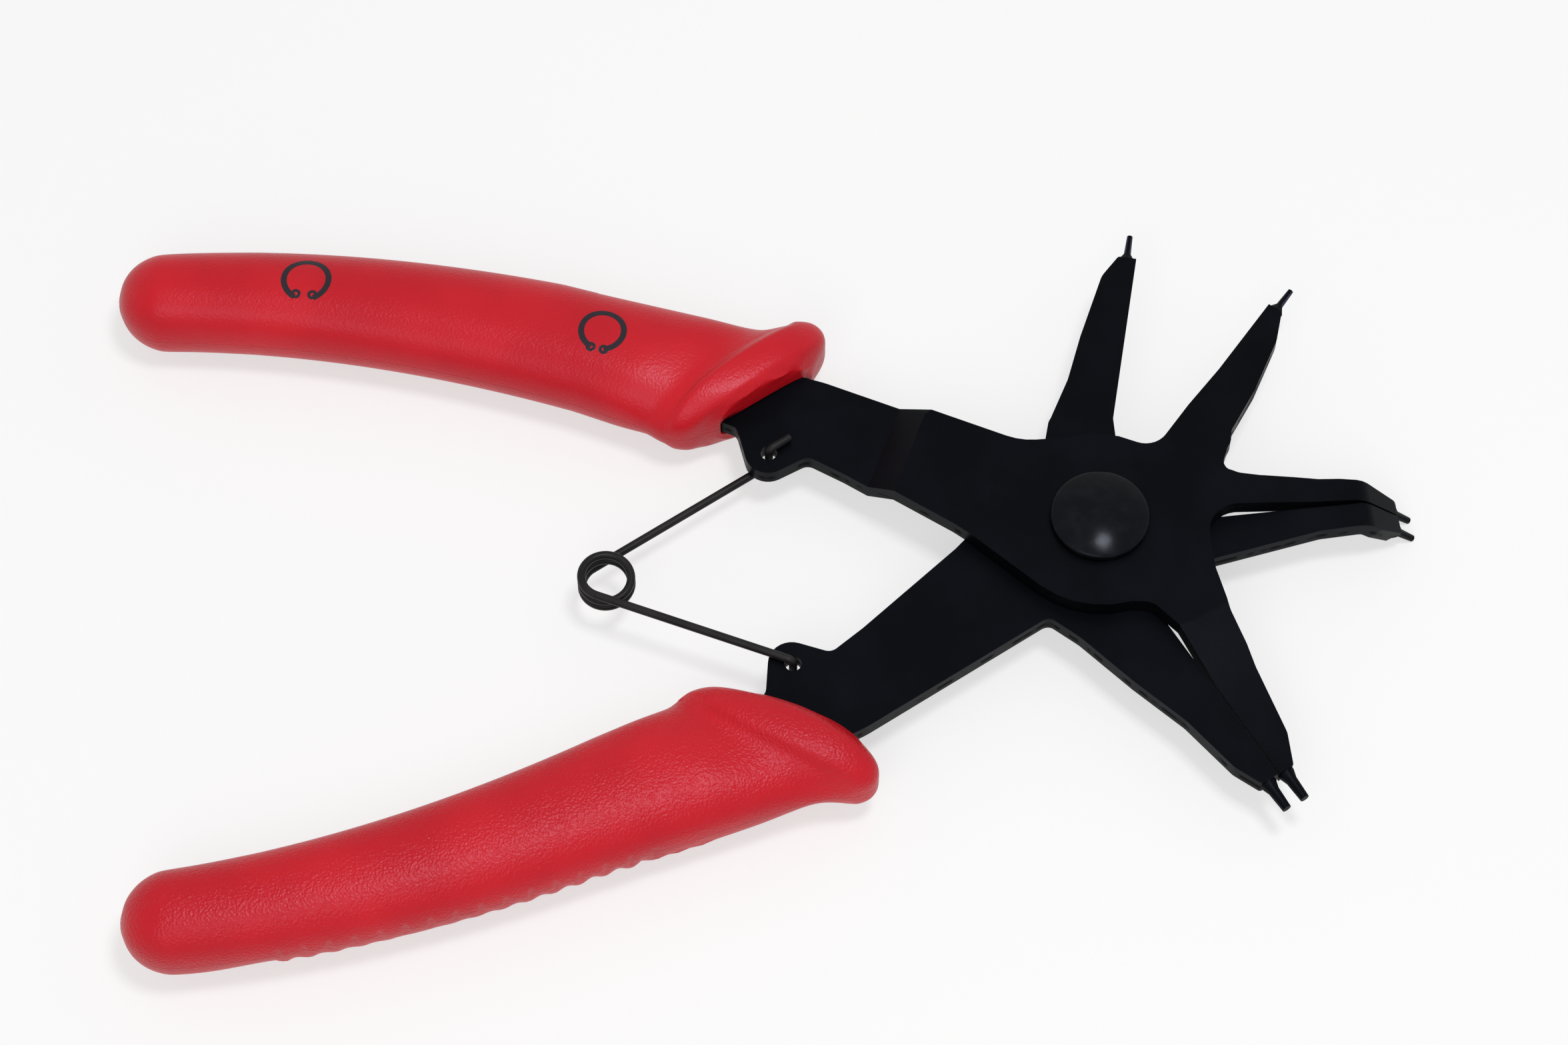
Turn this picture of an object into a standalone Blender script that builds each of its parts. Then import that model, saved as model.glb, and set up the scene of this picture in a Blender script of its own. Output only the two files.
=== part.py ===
"""Circlip pliers with three pairs of jaws on one pivot.

Two stamped levers lie one over the other at a riveted hub. Each carries three fingers, folded up
or down so that the jaws of a pair meet edge to edge in one plane, and each finger ends in a turned
tip. A torsion spring hooked between the tangs holds the handles open. Moulded grips cover the
tangs. The origin is on the pivot axis at the rivet tail's flat face, +X runs along the middle pair
of jaws, the handles point to -X and +Z is the rivet head's side.
"""
import math
from typing import NamedTuple

import bmesh
import bpy
from mathutils import Matrix, Vector

MM = 0.001

# Stock and clearance
PLATE = 2.5 * MM
CLEARANCE = 0.3 * MM
EDGE_BREAK = 0.2 * MM
ARC_STEP = math.radians(12.0)
FLAT = math.radians(1.0)
SHARP = math.radians(50.0)
CREASE = math.radians(35.0)
WELD = 0.001 * MM

# Hub and rivet
HUB_RADIUS = 13.2 * MM
SHANK_RADIUS = 4.0 * MM
HEAD_RADIUS = 6.7 * MM
HEAD_WALL = 0.9 * MM
HEAD_DOME = 1.5 * MM
DOME_RINGS = 6
TAIL_RADIUS = 5.2 * MM
TAIL_HEIGHT = 1.2 * MM
TAIL_CHAMFER = 0.4 * MM
RIVET_STEPS = 40
HOLE_STEPS = 32

# Jaws: lengths run out from the pivot along each finger's mating edge
JAW_NOSE = 43.0 * MM
JAW_NOSE_ROUND = 0.5 * MM
JAW_BACK_ROUND = 3.0 * MM
TIP_NECK = 44.3 * MM
TIP_END = 47.3 * MM
TIP_STUB = 2.0 * MM
TIP_ROOT_RADIUS = 1.15 * MM
TIP_TAPER = 0.8
TIP_STEPS = 12
FINE_TIP = 0.5 * MM
STURDY_TIP = 0.6 * MM
HEAVY_TIP = 0.8 * MM
MIDDLE_LINE = math.radians(0.0)
OUTER_LINE = math.radians(-65.3)
INNER_LINE = math.radians(48.0)
CLOSING = math.radians(26.0)
BEND_START = 35.3 * MM
BEND_RADIUS = 2.2 * MM
BEND_ANGLE = math.radians(45.0)
BEND_STEPS = 3

# Where the fingers leave the hub: rim angles, distances along the mating lines, and root radii
UPPER_RIM_FRONT = math.radians(-80.0)
UPPER_RIM_BACK = (math.radians(70.0), math.radians(100.0))
LOWER_RIM_FRONT = (math.radians(-55.0), math.radians(-35.0))
LOWER_RIM_INNER = (math.radians(12.0), math.radians(60.0))
LOWER_RIM_BACK = math.radians(124.0)
LOWER_RIM_CROTCHES = (math.radians(-28.0), math.radians(70.0), math.radians(116.0))
OUTER_ROOT = 14.2 * MM
OUTER_ROOT_LAP = 1.0 * MM
MIDDLE_SLOT = 14.5 * MM
INNER_ROOT = 13.6 * MM
INNER_ROOT_LOW = 17.5 * MM
UPPER_CROTCH = (17.6 * MM, 6.0 * MM)
LOWER_ELBOW = (-8.3 * MM, -13.0 * MM)
FOLD_ROOT = 1.0 * MM
TIGHT_ROOT = 1.5 * MM
ROOT_MARGIN = 1.5 * MM
CROTCH_ROUND = 2.0 * MM
ELBOW_ROUND = 2.5 * MM
OUTER_ROOT_ROUND = 3.0 * MM
SLOT_ROUND = 4.3 * MM
INNER_ROOT_ROUND = 5.0 * MM

# Tangs and the spring's holes in them
TANG_TURN = math.radians(-0.8)
TANG_LINE = math.radians(154.0)
JOGGLE_START = 27.5 * MM
JOGGLE_LENGTH = 4.0 * MM
SPRING_HOLE_DISTANCE = 46.2 * MM
SPRING_HOLE_ANGLE = math.radians(159.4)
SPRING_HOLE_RADIUS = 1.15 * MM
SPRING_HOLE_STEPS = 16

# Return spring
WIRE_RADIUS = 0.575 * MM
COIL_X = -66.95 * MM
COIL_Y = 0.3 * MM
COIL_RADIUS = 3.35 * MM
COIL_FULL_TURNS = 2
COIL_STEPS = 18
COIL_SPLIT = math.radians(560.0)
WIRE_BEND = 0.9 * MM
HOOK_LENGTH = 3.5 * MM

# Handles and grips
HANDLE_TURN = math.radians(-1.9)
TURN_START = -45.0 * MM
TURN_END = -70.0 * MM
HANDLE_LEVEL = -130.0 * MM
HANDLE_SPREAD = 47.3 * MM
SWEEP_LENGTH = 70.0 * MM
SWEEP_DEPTH = 15.7 * MM
SWEEP_POWER = 1.8
TAIL_START = -63.0 * MM
TAIL_END = -116.0 * MM
TAIL_WIDE = 4.4 * MM
TAIL_NARROW = 3.0 * MM
TAIL_STATIONS = 5
GRIP_END = -132.3 * MM
GRIP_CAP = 7.0 * MM
GRIP_HALF_THICKNESS = 6.5 * MM
GRIP_BODY_START = -66.0 * MM
GRIP_WIDE = 8.85 * MM
GRIP_NARROW = 6.6 * MM
GRIP_SQUARENESS = 2.3
GRIP_COLUMNS = 20
CAP_RINGS = 5
CAP_CLOSE = math.radians(80.0)
RIB_PITCH = 3.3 * MM
RIB_DEPTH = 0.4 * MM
RIB_END = -113.0 * MM
RIB_MIDDLE = math.radians(-38.0)
RIB_SPREAD = math.radians(34.0)

# Heights
LOWER_Z = TAIL_HEIGHT + CLEARANCE
STEP = PLATE + CLEARANCE
UPPER_Z = LOWER_Z + STEP
HANDLE_Z = LOWER_Z + PLATE / 2

# Edges beyond the hub of the tang whose handle is at +Y, in mm: x, y and fillet radius
TANG_OUTER_EDGE = ((-9.0, 13.1, 9.0), (-20.5, 19.2, 20.0), (-34.5, 26.6, 8.0), (-46.5, 31.6, 12.0))
TANG_INNER_EDGE = ((-47.3, 20.6, 1.5), (-45.9, 11.7, 3.2), (-38.0, 15.1, 1.6), (-33.4, 11.9, 4.0),
                   (-18.5, 0.3, 20.0))
TANG_HUB_ANGLE = math.radians(136.5)

# Slanted sections of the grip's flange, in mm: inner edge, outer edge and half thickness
FLANGE_SECTIONS = (
    ((-50.2, 20.9), (-36.4, 28.3), 5.2),
    ((-51.9, 20.5), (-34.6, 30.6), 6.2),
    ((-53.4, 19.8), (-33.3, 33.3), 6.6),
    ((-55.6, 19.4), (-34.6, 35.8), 6.9),
    ((-58.2, 20.2), (-37.8, 36.2), 6.9),
    ((-60.0, 21.6), (-42.0, 35.9), 6.4),
    ((-62.2, 22.6), (-49.6, 38.2), 6.3),
)


class Finger(NamedTuple):
    """One jaw. Its mating edge lies on a line from the pivot; widths in mm are taken off that line."""
    line: float
    side: int
    back: tuple
    nose_width: float
    tip_offset: float
    tip_radius: float
    fold_from: float
    fold_to: float
    rise: float
    is_bent: bool


UPPER_FINGERS = (
    Finger(OUTER_LINE, 1, ((14.2, 9.2), (20.5, 7.4), (25.3, 6.9), (38.6, 4.35)), 2.3, 1.25,
           HEAVY_TIP, 19.0, 28.5, -STEP, False),
    Finger(MIDDLE_LINE, 1, ((20.0, 4.9), (23.6, 4.2), (34.0, 3.8)), 2.3, 1.2,
           STURDY_TIP, 19.0, 31.0, -STEP, True),
    Finger(INNER_LINE, -1, ((20.3, 9.0), (22.0, 7.7), (38.6, 4.2)), 2.3, 1.2,
           FINE_TIP, 22.0, 30.0, -STEP / 2, False),
)
LOWER_FINGERS = (
    Finger(OUTER_LINE, -1, ((12.6, 11.25), (21.8, 8.8), (30.3, 6.1), (39.2, 4.5)), 2.8, 1.6,
           HEAVY_TIP, 0.0, 0.0, 0.0, False),
    Finger(MIDDLE_LINE, -1, ((14.9, 6.4), (22.2, 5.1), (30.0, 3.85), (38.5, 3.6)), 2.8, 1.6,
           STURDY_TIP, 0.0, 0.0, 0.0, True),
    Finger(INNER_LINE + CLOSING, 1, ((16.0, 9.6), (22.8, 7.3), (39.4, 4.6)), 2.7, 1.5,
           FINE_TIP, 22.7, 29.0, STEP / 2, False),
)


def polar(radius, angle):
    """A plan point at a radius and an angle about the pivot."""
    return Vector((radius * math.cos(angle), radius * math.sin(angle)))


def turned(point, angle):
    """A plan point turned about the pivot."""
    cosine, sine = math.cos(angle), math.sin(angle)
    return Vector((cosine * point[0] - sine * point[1], sine * point[0] + cosine * point[1]))


def share(value, start, end):
    """How far a value has gone from start to end, between 0 and 1."""
    return min(1.0, max(0.0, (value - start) / (end - start)))


def fillet(before, corner, after, radius):
    """A corner rounded to an arc, as points; the arc is limited by the corner's own edges."""
    to_before, to_after = before - corner, after - corner
    turn = math.pi - to_before.angle(to_after)
    reach = min(radius * math.tan(turn / 2), 0.49 * to_before.length, 0.49 * to_after.length)
    if reach < WELD:
        return [corner]
    arc_radius = reach / math.tan(turn / 2)
    bisector = (to_before.normalized() + to_after.normalized()).normalized()
    centre = corner + bisector * math.hypot(reach, arc_radius)
    first = corner + to_before.normalized() * reach - centre
    last = corner + to_after.normalized() * reach - centre
    count = max(1, math.ceil(turn / ARC_STEP))
    points = []
    for i in range(count + 1):
        angle = turn * i / count
        points.append(centre + (first * math.sin(turn - angle) + last * math.sin(angle)) / math.sin(turn))
    return points


def rounded(corners):
    """A closed outline from corners, each a plan point and the radius of its fillet."""
    outline = []
    for i, (corner, radius) in enumerate(corners):
        outline += fillet(corners[i - 1][0], corner, corners[(i + 1) % len(corners)][0], radius)
    return outline


def grown(outline, distance):
    """A counter-clockwise outline moved outwards all round."""
    moved = []
    for i, point in enumerate(outline):
        before = (point - outline[i - 1]).normalized()
        after = (outline[(i + 1) % len(outline)] - point).normalized()
        outward = Vector((before.y + after.y, -before.x - after.x)).normalized()
        facing = Vector((after.y, -after.x)).dot(outward)
        moved.append(point + outward * distance / facing)
    return moved


def hub_arc(start, end):
    """Corners along the hub's rim, counter-clockwise."""
    count = max(1, round((end - start) / ARC_STEP))
    return [(polar(HUB_RADIUS, start + (end - start) * i / count), 0.0) for i in range(count + 1)]


def on_finger(finger, along, off):
    """The plan point at a distance along a finger's mating line and off it, into the finger."""
    return polar(along, finger.line) + polar(1.0, finger.line + math.pi / 2) * finger.side * off


def along_and_off(finger, point):
    """A plan point's distances along a finger's mating line and off it."""
    plan = Vector((point[0], point[1]))
    off = plan.dot(polar(1.0, finger.line + math.pi / 2)) * finger.side
    return plan.dot(polar(1.0, finger.line)), off


def nose_and_back(finger):
    """A finger's corners from its mating edge's outer end round the nose and down its back."""
    corners = [(on_finger(finger, JAW_NOSE, CLEARANCE / 2), 0.0)]
    corners.append((on_finger(finger, JAW_NOSE, finger.nose_width * MM), JAW_NOSE_ROUND))
    for along, off in reversed(finger.back):
        corners.append((on_finger(finger, along * MM, off * MM), JAW_BACK_ROUND))
    return corners


def handle_turn(x):
    """How far the handles are turned about the pivot, which grows from the tang to the grip."""
    return TANG_TURN + (HANDLE_TURN - TANG_TURN) * share(x, TURN_START, TURN_END)


def handle_point(point, side):
    """A plan point of the +Y handle (side 1) or its counterpart on the -Y handle (side -1)."""
    return turned((point[0], side * point[1]), handle_turn(point[0]))


def spine(x):
    """The handle's mid-line, which sweeps outwards from the mouth and levels off."""
    run = max(0.0, (x - HANDLE_LEVEL) / SWEEP_LENGTH)
    return Vector((x, HANDLE_SPREAD - SWEEP_DEPTH * run ** SWEEP_POWER))


def across(x):
    """The direction across the handle, away from the other one."""
    ahead = spine(x + MM) - spine(x - MM)
    return Vector((-ahead.y, ahead.x)).normalized()


def tang_corners(side, is_grip_pocket=False):
    """The tang's corners, counter-clockwise, or only those that the grip's pocket follows."""
    outer = [((x * MM, y * MM), radius * MM) for x, y, radius in TANG_OUTER_EDGE]
    inner = [((x * MM, y * MM), radius * MM) for x, y, radius in TANG_INNER_EDGE]
    if is_grip_pocket:
        outer, inner = [(outer[-2][0], 0.0), outer[-1]], [(inner[0][0], 0.0)]
    out_run, back_run = [], []
    for i in range(TAIL_STATIONS):
        part = i / (TAIL_STATIONS - 1)
        x = TAIL_START + (TAIL_END - TAIL_START) * part
        half = across(x) * (TAIL_WIDE + (TAIL_NARROW - TAIL_WIDE) * part)
        out_run.append((spine(x) + half, TAIL_NARROW))
        back_run.append((spine(x) - half, TAIL_NARROW))
    corners = outer + out_run + back_run[::-1] + inner
    corners = [(handle_point(point, side), radius) for point, radius in corners]
    return corners if side > 0 else corners[::-1]


def upper_corners():
    """The upper lever's blank: outer, middle and inner finger, then the +Y tang."""
    outer, middle, inner = UPPER_FINGERS
    return (
        hub_arc(-TANG_HUB_ANGLE, UPPER_RIM_FRONT)
        + [(on_finger(outer, OUTER_ROOT, -OUTER_ROOT_LAP), OUTER_ROOT_ROUND)]
        + [(on_finger(outer, outer.fold_from * MM, CLEARANCE / 2), FOLD_ROOT)]
        + nose_and_back(outer)
        + [(on_finger(middle, MIDDLE_SLOT, CLEARANCE / 2), SLOT_ROUND)]
        + nose_and_back(middle)
        + [(Vector(UPPER_CROTCH), TIGHT_ROOT)]
        + nose_and_back(inner)[::-1]
        + [(on_finger(inner, INNER_ROOT, CLEARANCE / 2), INNER_ROOT_ROUND)]
        + hub_arc(*UPPER_RIM_BACK)
        + tang_corners(1)
    )


def lower_corners():
    """The lower lever's blank: outer, middle and inner finger, then the -Y tang."""
    outer, middle, inner = LOWER_FINGERS
    front_crotch, inner_crotch, back_crotch = (polar(HUB_RADIUS, angle) for angle in LOWER_RIM_CROTCHES)
    return (
        [(Vector(LOWER_ELBOW), ELBOW_ROUND)]
        + nose_and_back(outer)[::-1]
        + [(on_finger(outer, HUB_RADIUS, CLEARANCE / 2), TIGHT_ROOT)]
        + hub_arc(*LOWER_RIM_FRONT)
        + [(front_crotch, TIGHT_ROOT)]
        + nose_and_back(middle)[::-1]
        + [(on_finger(middle, HUB_RADIUS, CLEARANCE / 2), TIGHT_ROOT)]
        + hub_arc(*LOWER_RIM_INNER)
        + [(inner_crotch, CROTCH_ROUND)]
        + [(on_finger(inner, INNER_ROOT_LOW, CLEARANCE / 2), CROTCH_ROUND)]
        + nose_and_back(inner)
        + [(back_crotch, CROTCH_ROUND)]
        + hub_arc(LOWER_RIM_BACK, TANG_HUB_ANGLE)
        + tang_corners(-1)
    )


def new_collection(name):
    """A collection linked to the scene."""
    collection = bpy.data.collections.new(name)
    bpy.context.scene.collection.children.link(collection)
    return collection


def finish(name, colour, metallic, roughness):
    """A plain surface finish."""
    material = bpy.data.materials.new(name)
    material.use_nodes = True
    shader = material.node_tree.nodes["Principled BSDF"]
    shader.inputs["Base Color"].default_value = (*colour, 1.0)
    shader.inputs["Metallic"].default_value = metallic
    shader.inputs["Roughness"].default_value = roughness
    return material


def place(name, data, collection, location=(0.0, 0.0, 0.0)):
    """An object made from a mesh or curve and linked to a collection."""
    item = bpy.data.objects.new(name, data)
    item.location = location
    collection.objects.link(item)
    return item


def as_cutter(item):
    """Mark an object as a shape that only cuts or joins another."""
    item.hide_render = True
    item.display_type = "WIRE"
    return item


def baked(item):
    """The object as its modifiers leave it, turned into a plain mesh in place."""
    bpy.context.view_layer.update()
    depsgraph = bpy.context.evaluated_depsgraph_get()
    mesh = bpy.data.meshes.new_from_object(item.evaluated_get(depsgraph))
    mesh.transform(item.matrix_world)
    name, collection = item.name, item.users_collection[0]
    bpy.data.objects.remove(item)
    return place(name, mesh, collection)


def edit(item, change):
    """Run a change on the object's mesh."""
    mesh = bmesh.new()
    mesh.from_mesh(item.data)
    change(mesh)
    mesh.to_mesh(item.data)
    mesh.free()


def weld_flat(mesh):
    """Weld doubles and merge coplanar faces."""
    bmesh.ops.remove_doubles(mesh, verts=mesh.verts, dist=WELD)
    bmesh.ops.dissolve_limit(mesh, angle_limit=FLAT, verts=mesh.verts, edges=mesh.edges)


def smooth(item):
    """Shade an object smooth between its sharp edges."""
    item.data.shade_smooth()
    item.data.set_sharp_from_angle(angle=CREASE)


def plate(name, outline, bottom, thickness, collection):
    """A flat plate of any outline, made as a filled curve and welded."""
    curve = bpy.data.curves.new(name, "CURVE")
    curve.dimensions = "2D"
    curve.fill_mode = "BOTH"
    curve.extrude = thickness / 2
    spline = curve.splines.new("POLY")
    spline.points.add(len(outline) - 1)
    spline.use_cyclic_u = True
    for point, corner in zip(spline.points, outline):
        point.co = (corner.x, corner.y, 0.0, 1.0)
    item = baked(place(name, curve, collection, (0.0, 0.0, bottom + thickness / 2)))
    edit(item, weld_flat)
    return item


def turned_solid(name, profile, steps, collection):
    """A solid of revolution about Z from a profile of (radius, height) that runs top to bottom."""
    mesh = bpy.data.meshes.new(name)
    mesh.from_pydata([(radius, 0.0, height) for radius, height in profile],
                     [(i, i + 1) for i in range(len(profile) - 1)], [])
    item = place(name, mesh, collection)
    screw = item.modifiers.new("Turn", "SCREW")
    screw.steps = steps
    screw.render_steps = steps
    screw.use_merge_vertices = True
    screw.merge_threshold = WELD
    return item


def cut_hole(item, name, centre, radius, steps, cutters):
    """Bore a vertical hole through a plate."""
    bpy.ops.mesh.primitive_cylinder_add(vertices=steps, radius=radius, depth=4 * PLATE,
                                        location=(centre.x, centre.y, UPPER_Z))
    cutter = bpy.context.object
    cutter.name = name
    for collection in cutter.users_collection:
        collection.objects.unlink(cutter)
    cutters.objects.link(as_cutter(cutter))
    boolean = item.modifiers.new(name, "BOOLEAN")
    boolean.operation = "DIFFERENCE"
    boolean.object = cutter


def belongs(finger, point):
    """Whether a point of the blank is on this finger, past its root."""
    along, off = along_and_off(finger, point)
    return along > HUB_RADIUS and -CLEARANCE < off < finger.back[0][1] * MM + ROOT_MARGIN


def fold_point(point, fingers, is_joggled):
    """Where a point of the flat blank goes when its fingers and tang are folded."""
    x, y, z = point
    for finger in fingers:
        if not belongs(finger, point):
            continue
        along = along_and_off(finger, point)[0]
        if finger.rise:
            z += finger.rise * share(along, finger.fold_from * MM, finger.fold_to * MM)
        if finger.is_bent and along > BEND_START:
            angle = min((along - BEND_START) / BEND_RADIUS, BEND_ANGLE)
            straight = along - BEND_START - BEND_RADIUS * angle
            radius = BEND_RADIUS + z - HANDLE_Z
            forward = radius * math.sin(angle) + straight * math.cos(angle)
            z = HANDLE_Z - BEND_RADIUS + radius * math.cos(angle) - straight * math.sin(angle)
            moved = polar(BEND_START + forward - along, finger.line)
            x, y = x + moved.x, y + moved.y
    if is_joggled:
        along = Vector((x, y)).dot(polar(1.0, TANG_LINE + TANG_TURN))
        z -= STEP * share(along, JOGGLE_START, JOGGLE_START + JOGGLE_LENGTH)
    return Vector((x, y, z))


def fold(item, fingers, is_joggled):
    """Crease the blank where it folds, then fold it."""
    creases = []
    for finger in fingers:
        if finger.rise:
            creases += [(finger.line, finger.fold_from * MM), (finger.line, finger.fold_to * MM)]
        if finger.is_bent:
            arc_length = BEND_RADIUS * BEND_ANGLE
            creases += [(finger.line, BEND_START + arc_length * i / BEND_STEPS) for i in range(BEND_STEPS + 1)]
    if is_joggled:
        line = TANG_LINE + TANG_TURN
        creases += [(line, JOGGLE_START), (line, JOGGLE_START + JOGGLE_LENGTH)]

    def change(mesh):
        bmesh.ops.triangulate(mesh, faces=mesh.faces)
        for line, distance in creases:
            point = polar(distance, line)
            normal = polar(1.0, line)
            bmesh.ops.bisect_plane(mesh, geom=mesh.verts[:] + mesh.edges[:] + mesh.faces[:], dist=WELD,
                                   plane_co=(point.x, point.y, 0.0), plane_no=(normal.x, normal.y, 0.0))
        for vertex in mesh.verts:
            vertex.co = fold_point(vertex.co, fingers, is_joggled)
        bmesh.ops.dissolve_limit(mesh, angle_limit=FLAT, verts=mesh.verts, edges=mesh.edges)

    edit(item, change)


def add_tip(item, finger, fingers, is_joggled, bottom, cutters):
    """Join a turned tip to the nose of a folded finger."""
    profile = (
        (0.0, TIP_END),
        (finger.tip_radius * TIP_TAPER, TIP_END),
        (finger.tip_radius, TIP_NECK),
        (TIP_ROOT_RADIUS, JAW_NOSE + EDGE_BREAK),
        (TIP_ROOT_RADIUS, JAW_NOSE - TIP_STUB),
        (0.0, JAW_NOSE - TIP_STUB),
    )
    tip = baked(turned_solid(f"{item.name}_tip_{math.degrees(finger.line):.0f}", profile, TIP_STEPS, cutters))
    foot = on_finger(finger, 0.0, finger.tip_offset * MM)
    lay = Matrix.Rotation(finger.line, 4, "Z") @ Matrix.Rotation(math.pi / 2, 4, "Y")
    tip.data.transform(Matrix.Translation((foot.x, foot.y, bottom + PLATE / 2)) @ lay)
    for vertex in tip.data.vertices:
        vertex.co = fold_point(vertex.co, fingers, is_joggled)
    boolean = item.modifiers.new(tip.name, "BOOLEAN")
    boolean.operation = "UNION"
    boolean.object = as_cutter(tip)


def lever(name, corners, bottom, fingers, side, is_joggled, material, parts, cutters):
    """A stamped lever: blank, folds, broken edges, holes and turned tips."""
    item = plate(name, rounded(corners), bottom, PLATE, parts)
    fold(item, fingers, is_joggled)
    bevel = item.modifiers.new("Broken edges", "BEVEL")
    bevel.width = EDGE_BREAK
    bevel.segments = 1
    bevel.limit_method = "ANGLE"
    bevel.angle_limit = SHARP
    cut_hole(item, f"{name}_pivot_hole", Vector((0.0, 0.0)), SHANK_RADIUS + CLEARANCE, HOLE_STEPS, cutters)
    cut_hole(item, f"{name}_spring_hole", spring_hole(side), SPRING_HOLE_RADIUS, SPRING_HOLE_STEPS, cutters)
    for finger in fingers:
        add_tip(item, finger, fingers, is_joggled, bottom, cutters)
    smooth(item)
    item.data.materials.append(material)
    return item


def rivet(material, parts):
    """The pivot rivet: a low domed head, a shank and a flat tail."""
    head_seat = UPPER_Z + PLATE + CLEARANCE
    rim = head_seat + HEAD_WALL
    dome_radius = (HEAD_RADIUS ** 2 + HEAD_DOME ** 2) / (2 * HEAD_DOME)
    opening = math.asin(HEAD_RADIUS / dome_radius)
    profile = []
    for i in range(DOME_RINGS + 1):
        angle = opening * i / DOME_RINGS
        profile.append((dome_radius * math.sin(angle), rim + HEAD_DOME - dome_radius * (1 - math.cos(angle))))
    profile += [
        (HEAD_RADIUS, head_seat + EDGE_BREAK),
        (HEAD_RADIUS - EDGE_BREAK, head_seat),
        (SHANK_RADIUS, head_seat),
        (SHANK_RADIUS, TAIL_HEIGHT),
        (TAIL_RADIUS, TAIL_HEIGHT),
        (TAIL_RADIUS, TAIL_CHAMFER),
        (TAIL_RADIUS - TAIL_CHAMFER, 0.0),
        (0.0, 0.0),
    ]
    item = turned_solid("pivot_rivet", profile, RIVET_STEPS, parts)
    item.data.materials.append(material)
    return item


def spring_hole(side):
    """The plan centre of the spring's hole in a tang."""
    return handle_point(polar(SPRING_HOLE_DISTANCE, SPRING_HOLE_ANGLE), side)


def lifted(point, z):
    """A plan point at a height."""
    return Vector((point.x, point.y, z))


def route(corners):
    """A wire's centre line with its corners bent to the wire's bending radius."""
    points = [corners[0]]
    for i in range(1, len(corners) - 1):
        points += fillet(corners[i - 1], corners[i], corners[i + 1], WIRE_BEND)
    return points + [corners[-1]]


def wire(name, points, origin, material, parts):
    """A round wire along a centre line, with its origin where the wire turns."""
    curve = bpy.data.curves.new(name, "CURVE")
    curve.dimensions = "3D"
    curve.bevel_depth = WIRE_RADIUS
    curve.bevel_resolution = 2
    curve.use_fill_caps = True
    spline = curve.splines.new("POLY")
    spline.points.add(len(points) - 1)
    for point, corner in zip(spline.points, points):
        point.co = (*(corner - origin), 1.0)
    curve.materials.append(material)
    return place(name, curve, parts, origin)


def return_spring(material, parts):
    """The torsion spring as two arms, so that its coil can wind up when the handles close."""
    low_hole, high_hole = spring_hole(-1), spring_hole(1)
    centre = Vector((COIL_X, COIL_Y))
    over = LOWER_Z + PLATE + CLEARANCE + WIRE_RADIUS
    under = LOWER_Z - CLEARANCE - WIRE_RADIUS

    to_low, to_high = low_hole - centre, high_hole - centre
    low_out = math.atan2(to_low.y, to_low.x) + math.asin(COIL_RADIUS / to_low.length)
    high_out = math.atan2(to_high.y, to_high.x) - math.asin(COIL_RADIUS / to_high.length)
    start = low_out - math.pi / 2
    sweep = (start - high_out - math.pi / 2) % (2 * math.pi) + 2 * math.pi * COIL_FULL_TURNS
    pitch = 2 * WIRE_RADIUS + CLEARANCE
    top = HANDLE_Z + pitch * sweep / (4 * math.pi)

    def coil(first, last):
        count = math.ceil((last - first) * COIL_STEPS / (2 * math.pi))
        points = []
        for i in range(count + 1):
            angle = first + (last - first) * i / count
            around = centre + polar(COIL_RADIUS, start - angle)
            points.append(lifted(around, top - pitch * angle / (2 * math.pi)))
        return points

    low_hook = [lifted(low_hole + polar(HOOK_LENGTH, low_out), under), lifted(low_hole, under),
                lifted(low_hole, over)]
    high_hook = [lifted(high_hole, under), lifted(high_hole, over),
                 lifted(high_hole + polar(HOOK_LENGTH, high_out), over)]
    split_gap = CLEARANCE / COIL_RADIUS / 2
    low_coil = coil(0.0, COIL_SPLIT - split_gap)
    high_coil = coil(COIL_SPLIT + split_gap, sweep)
    low_arm = wire("spring_lower_arm", route(low_hook + low_coil[:1]) + low_coil[1:],
                   lifted(low_hole, HANDLE_Z), material, parts)
    high_arm = wire("spring_upper_arm", high_coil[:-1] + route(high_coil[-1:] + high_hook),
                    lifted(centre, HANDLE_Z), material, parts)
    return low_arm, high_arm


def section(inner, outer, half_thickness, ribbed, side):
    """One ring of the grip between its inner and outer edge, notched on the palm side where ribbed."""
    inner, outer = handle_point(inner, side), handle_point(outer, side)
    middle = (inner + outer) / 2
    reach = (outer - inner) / 2
    ring = []
    for i in range(GRIP_COLUMNS):
        angle = 2 * math.pi * i / GRIP_COLUMNS
        sideways = math.copysign(abs(math.cos(angle)) ** (2 / GRIP_SQUARENESS), math.cos(angle))
        upwards = math.copysign(abs(math.sin(angle)) ** (2 / GRIP_SQUARENESS), math.sin(angle))
        if ribbed:
            away = (angle - RIB_MIDDLE + math.pi) % (2 * math.pi) - math.pi
            notch = RIB_DEPTH / GRIP_HALF_THICKNESS * max(0.0, 1 - (away / RIB_SPREAD) ** 2)
            sideways *= 1 - notch
            upwards *= 1 - notch
        ring.append(lifted(middle + reach * sideways, HANDLE_Z + half_thickness * upwards))
    return ring


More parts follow.
